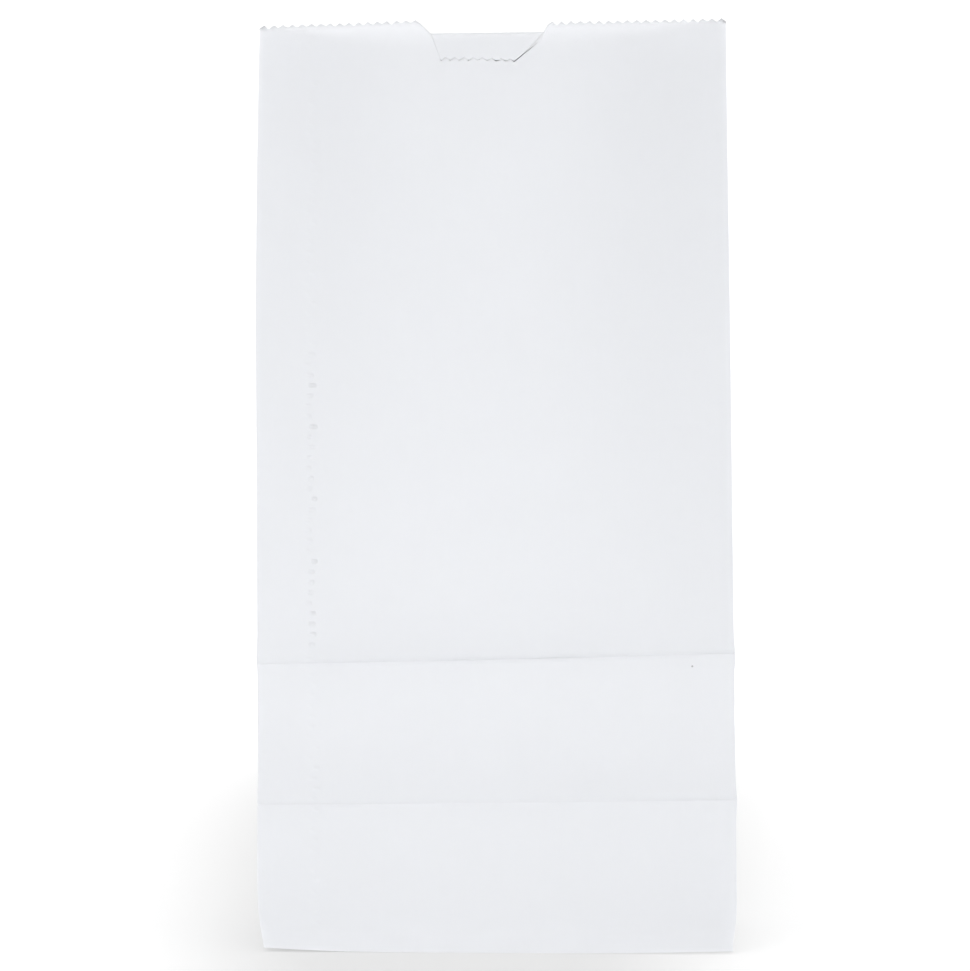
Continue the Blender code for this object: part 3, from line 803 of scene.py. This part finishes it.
cutter = bag.modifiers.new("teeth", "NODES")
cutter.node_group = teeth
cutter[teeth_inputs["Tooth depth"]] = TOOTH_DEPTH
cutter[teeth_inputs["Paper"]] = sheet_paper
cutter[teeth_inputs["Seam paper"]] = seam_paper
thicken(bag)
print("bag sheet faces:", bake(bag))

# %% [markdown]
# ## Bottom flaps
# Seen from below, the front and back ends of the tube are folded over the side flaps as two
# trapezoids with 45 degree sides, and the back one is glued over the front one. They are tight at
# their folds and stand a hair apart at their cut edges, which is where the eye finds them.

# %% The two flaps
FLAP_LENGTH, FLAP_COLUMNS, FLAP_ROWS = 0.050, 96, 40
FOLD_ROUND, FOLD_DROP, FLAP_WAVES = 0.0012, 0.00004, 0.000006
CLIMB_START, CLIMB_LENGTH = 0.026, 0.003


def flap(name, end, rises, place_x):
    """A trapezoid folded in from the front (-1) or back (1) edge. One rises over the other's end."""
    u = np.linspace(-1, 1, FLAP_COLUMNS + 1)
    u, v = np.meshgrid(u, np.linspace(0, 1, FLAP_ROWS + 1), indexing="ij")
    run = v * FLAP_LENGTH
    x, y = u * (HALF_WIDTH - run), end * (HALF_DEPTH - run)
    away = smooth(run / FOLD_ROUND)
    climbing = rises * (PAPER + PLY_GAP) * smooth((run - CLIMB_START) / CLIMB_LENGTH)
    slack = FLAP_WAVES * waves(x, y, 31 + rises)
    points = stand(np.stack([x, y, 0 * x], axis=-1))
    points[..., 2] = EDGE_LEVEL + corner_lift(x) + climbing + (slack - FOLD_DROP) * away
    grid = np.arange(x.size).reshape(x.shape)
    made = []
    for i in range(FLAP_COLUMNS):
        for j in range(FLAP_ROWS):
            square = [grid[i, j], grid[i, j + 1], grid[i + 1, j + 1], grid[i + 1, j]]
            made.append(square if end < 0 else square[::-1])
    place = np.stack([x + place_x, y, 0 * x], axis=-1).reshape(-1, 3)
    obj = add_mesh(name, points.reshape(-1, 3), made, flat_place=place)
    obj.data.materials.append(flap_paper)
    thicken(obj)
    n_faces = bake(obj)
    lowest = min(v.co.z for v in obj.data.vertices)
    print(name, "faces:", n_faces, "lowest:", round(lowest * MM, 3), "mm")
    return obj


flap_front = flap("bottom_flap_front", -1, 1, 0.8)
flap_back = flap("bottom_flap_back", 1, 0, 0.5)

# %% Every piece rides on the bag's body and stands for the CAD's one node
for obj in (bag, flap_front, flap_back):
    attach(obj, "root")
    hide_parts("paper_bag")

# %% [markdown]
# ## Stage
# A white sweep: table, curve and wall in one sheet. The camera sees it a little brighter than it
# really is, so that it runs out to plain white away from the bag. Round the foot that glow is held
# back as a painted shadow: a soft grey pool that stretches far behind the bag, widening and drifting
# to its left. Nothing of that extra brightness falls on the bag. More light on the set would whiten
# the ground too, but it would burn out the paper.

# %% Sweep
WALL_Y, CURVE, SIDE, TOP, CURVE_STEPS = 2.4, 1.0, 3.0, 2.6, 24


def sweep():
    profile = [(-2.6, 0.0), (-0.6, 0.0), (0.6, 0.0)]
    for k in range(CURVE_STEPS + 1):
        angle = math.pi / 2 * k / CURVE_STEPS
        profile.append((WALL_Y - CURVE + CURVE * math.sin(angle), CURVE - CURVE * math.cos(angle)))
    profile.append((WALL_Y, TOP))
    points = np.array([(sx * SIDE, y, z) for y, z in profile for sx in (-1, 1)])
    faces = [[2 * k, 2 * k + 1, 2 * k + 3, 2 * k + 2] for k in range(len(profile) - 1)]
    return add_mesh("sweep", points, faces)


floor = sweep()
white = bpy.data.materials.new("sweep_white_with_painted_shadow")
white.use_nodes = True
tree = white.node_tree
floor.data.materials.append(white)
print("sweep faces:", len(floor.data.polygons))

# %% How far out of the painted shadow round the foot a point of the sweep lies
PAINTED_SHADOW_X, PAINTED_SHADOW_FRONT, PAINTED_SHADOW_BACK = 0.0098, 0.0745, 1.886
PAINTED_SHADOW_HALF_WIDTH, PAINTED_SHADOW_SPREAD, PAINTED_SHADOW_DRIFT = 0.0518, 0.0443, 0.0413
PAINTED_SHADOW_EDGES, PAINTED_SHADOW_GLOW = (0.551, 1.838), (0.540, 0.800)
WALL_EDGES, WALL_GLOW = (0.8, 1.5), (0.0, 0.40)


def ramp(value, edges, levels):
    node = tree.nodes.new("ShaderNodeMapRange")
    node.interpolation_type = "SMOOTHSTEP"
    for slot, number in enumerate((*edges, *levels), 1):
        node.inputs[slot].default_value = number
    tree.links.new(value, node.inputs[0])
    return node.outputs[0]


add, less, times, over = sums(tree)
coordinates = tree.nodes.new("ShaderNodeTexCoord")
spot = pick(tree, "ShaderNodeSeparateXYZ", coordinates.outputs["Object"])
from_foot = add(spot["Y"], PAINTED_SHADOW_FRONT)
behind, ahead = maths(tree, "MAXIMUM", from_foot, 0.0), maths(tree, "MINIMUM", from_foot, 0.0)
from_axis = add(add(spot["X"], PAINTED_SHADOW_X), times(behind, PAINTED_SHADOW_DRIFT))
half_width = add(times(behind, PAINTED_SHADOW_SPREAD), PAINTED_SHADOW_HALF_WIDTH)
parts = (over(from_axis, half_width), over(behind, PAINTED_SHADOW_BACK), over(ahead, PAINTED_SHADOW_FRONT))
squares = [times(part, part) for part in parts]
ring = maths(tree, "SQRT", add(add(squares[0], squares[1]), squares[2]))
# painted shadow: the camera's glow is held low near the foot and rises to full away from it
painted_shadow_glow = ramp(ring, PAINTED_SHADOW_EDGES, PAINTED_SHADOW_GLOW)
glow_with_painted_shadow = add(painted_shadow_glow, ramp(spot["Y"], WALL_EDGES, WALL_GLOW))
print("nodes of the sweep's finish:", len(tree.nodes))

# %% The sweep's finish: white to the lights, and greyer to the camera, with a glow that dips into a painted shadow round the foot
SWEEP_WHITE, SWEEP_SEEN = (0.90, 0.90, 0.90, 1), (0.25, 0.25, 0.25, 1)
shader, output = tree.nodes["Principled BSDF"], tree.nodes["Material Output"]
shader.inputs["Roughness"].default_value = 1.0
shader.inputs["Specular IOR Level"].default_value = 0.0
path = tree.nodes.new("ShaderNodeLightPath")
seen = mixed_colour(tree, path.outputs["Is Camera Ray"], SWEEP_WHITE, SWEEP_SEEN)
tree.links.new(seen, shader.inputs["Base Color"])
glow = tree.nodes.new("ShaderNodeEmission")
# this glow, seen by the camera only, carries the painted shadow round the foot
tree.links.new(times(path.outputs["Is Camera Ray"], glow_with_painted_shadow), glow.inputs["Strength"])
both = tree.nodes.new("ShaderNodeAddShader")
for slot, layer in enumerate((shader, glow)):
    tree.links.new(layer.outputs[0], both.inputs[slot])
tree.links.new(both.outputs[0], output.inputs["Surface"])
print("the camera sees", SWEEP_SEEN[0], "of the light on the sweep, and its glow")

# %% [markdown]
# ## Light
# A white room gives even light, and wide soft boxes in front and above shape the panels. A box behind
# the bag stands low, so that it shines through the paper and lights the back panel in the notch, but
# doesn't reach over the back lip. A small one lifts the left corner of the lip, and a flat one near
# the table lights the strip that turns out at the foot. One strong lamp would be simpler, and would
# draw hard shadows in every wave of the paper.

# %% The room, which the camera sees as plain white
ROOM_LEVEL = 0.31
world = bpy.data.worlds.new("room")
bpy.context.scene.world = world
world.use_nodes = True
room = world.node_tree
background = room.nodes["Background"]
background.inputs["Color"].default_value = (1, 1, 1, 1)
seen_room = room.nodes.new("ShaderNodeLightPath").outputs["Is Camera Ray"]
room_strength = maths(room, "ADD", maths(room, "MULTIPLY", seen_room, 1.0 - ROOM_LEVEL), ROOM_LEVEL)
room.links.new(room_strength, background.inputs["Strength"])
print("room level:", ROOM_LEVEL)

# %% Soft boxes: name, place, what they aim at, size and power in watts
SOFT_BOXES = (
    ("key", (-0.15, -1.55, 1.05), (0, 0, 0.1), (1.6, 1.1), 12.6),
    ("top", (0.05, -0.45, 1.7), (0, -0.1, 0.0), (1.6, 1.4), 12.2),
    ("back", (0.0, 1.3, 0.33), (0, 0, 0.2), (1.4, 0.5), 12.0),
    ("corner", (-0.36, -0.70, 0.60), (-0.03, -0.02, 0.22), (0.4, 0.4), 1.0),
    ("low", (0.0, -0.27, 0.012), (0, 0, 0.02), (0.5, 0.02), 0.21),
)


def soft_box(name, place, aim, size, power):
    light = bpy.data.lights.new(name, "AREA")
    light.shape = "RECTANGLE"
    light.size, light.size_y, light.energy = size[0], size[1], power
    obj = bpy.data.objects.new(name, light)
    obj.location = place
    obj.rotation_mode = "QUATERNION"
    obj.rotation_quaternion = (Vector(aim) - Vector(place)).to_track_quat("-Z", "Y")
    obj.visible_camera = False
    bpy.context.scene.collection.objects.link(obj)


for box in SOFT_BOXES:
    soft_box(*box)
print("soft boxes:", ", ".join(box[0] for box in SOFT_BOXES))

# %% [markdown]
# ## Camera
# The photograph was taken from a bit over a metre with a long lens at mid height, three degrees to
# the right of square on. The upright edges of the bag stay almost parallel and the mouth cannot be
# looked into.

# %% Camera
FIELD, YAW, SENSOR = math.radians(12.04), math.radians(3.0), 36
DISTANCE, OFFSET, EYE = 1.213, 0.0033, 0.1230
camera = bpy.data.cameras.new("camera")
camera.lens = SENSOR / (2 * math.tan(FIELD / 2))
camera.sensor_width = SENSOR
camera.clip_start, camera.clip_end = 0.05, 20
cam = bpy.data.objects.new("camera", camera)
bpy.context.scene.collection.objects.link(cam)
bpy.context.scene.camera = cam
back_way = Vector((math.sin(YAW), -math.cos(YAW), 0))
right_way = Vector((math.cos(YAW), math.sin(YAW), 0))
cam.location = Vector((0, -HALF_DEPTH, EYE)) + back_way * DISTANCE - right_way * OFFSET
cam.rotation_mode = "QUATERNION"
cam.rotation_quaternion = (-back_way).to_track_quat("-Z", "Y")
bpy.context.scene.view_settings.view_transform = "Standard"
print("camera at", [round(v, 3) for v in cam.location], "lens", round(camera.lens, 1), "mm")
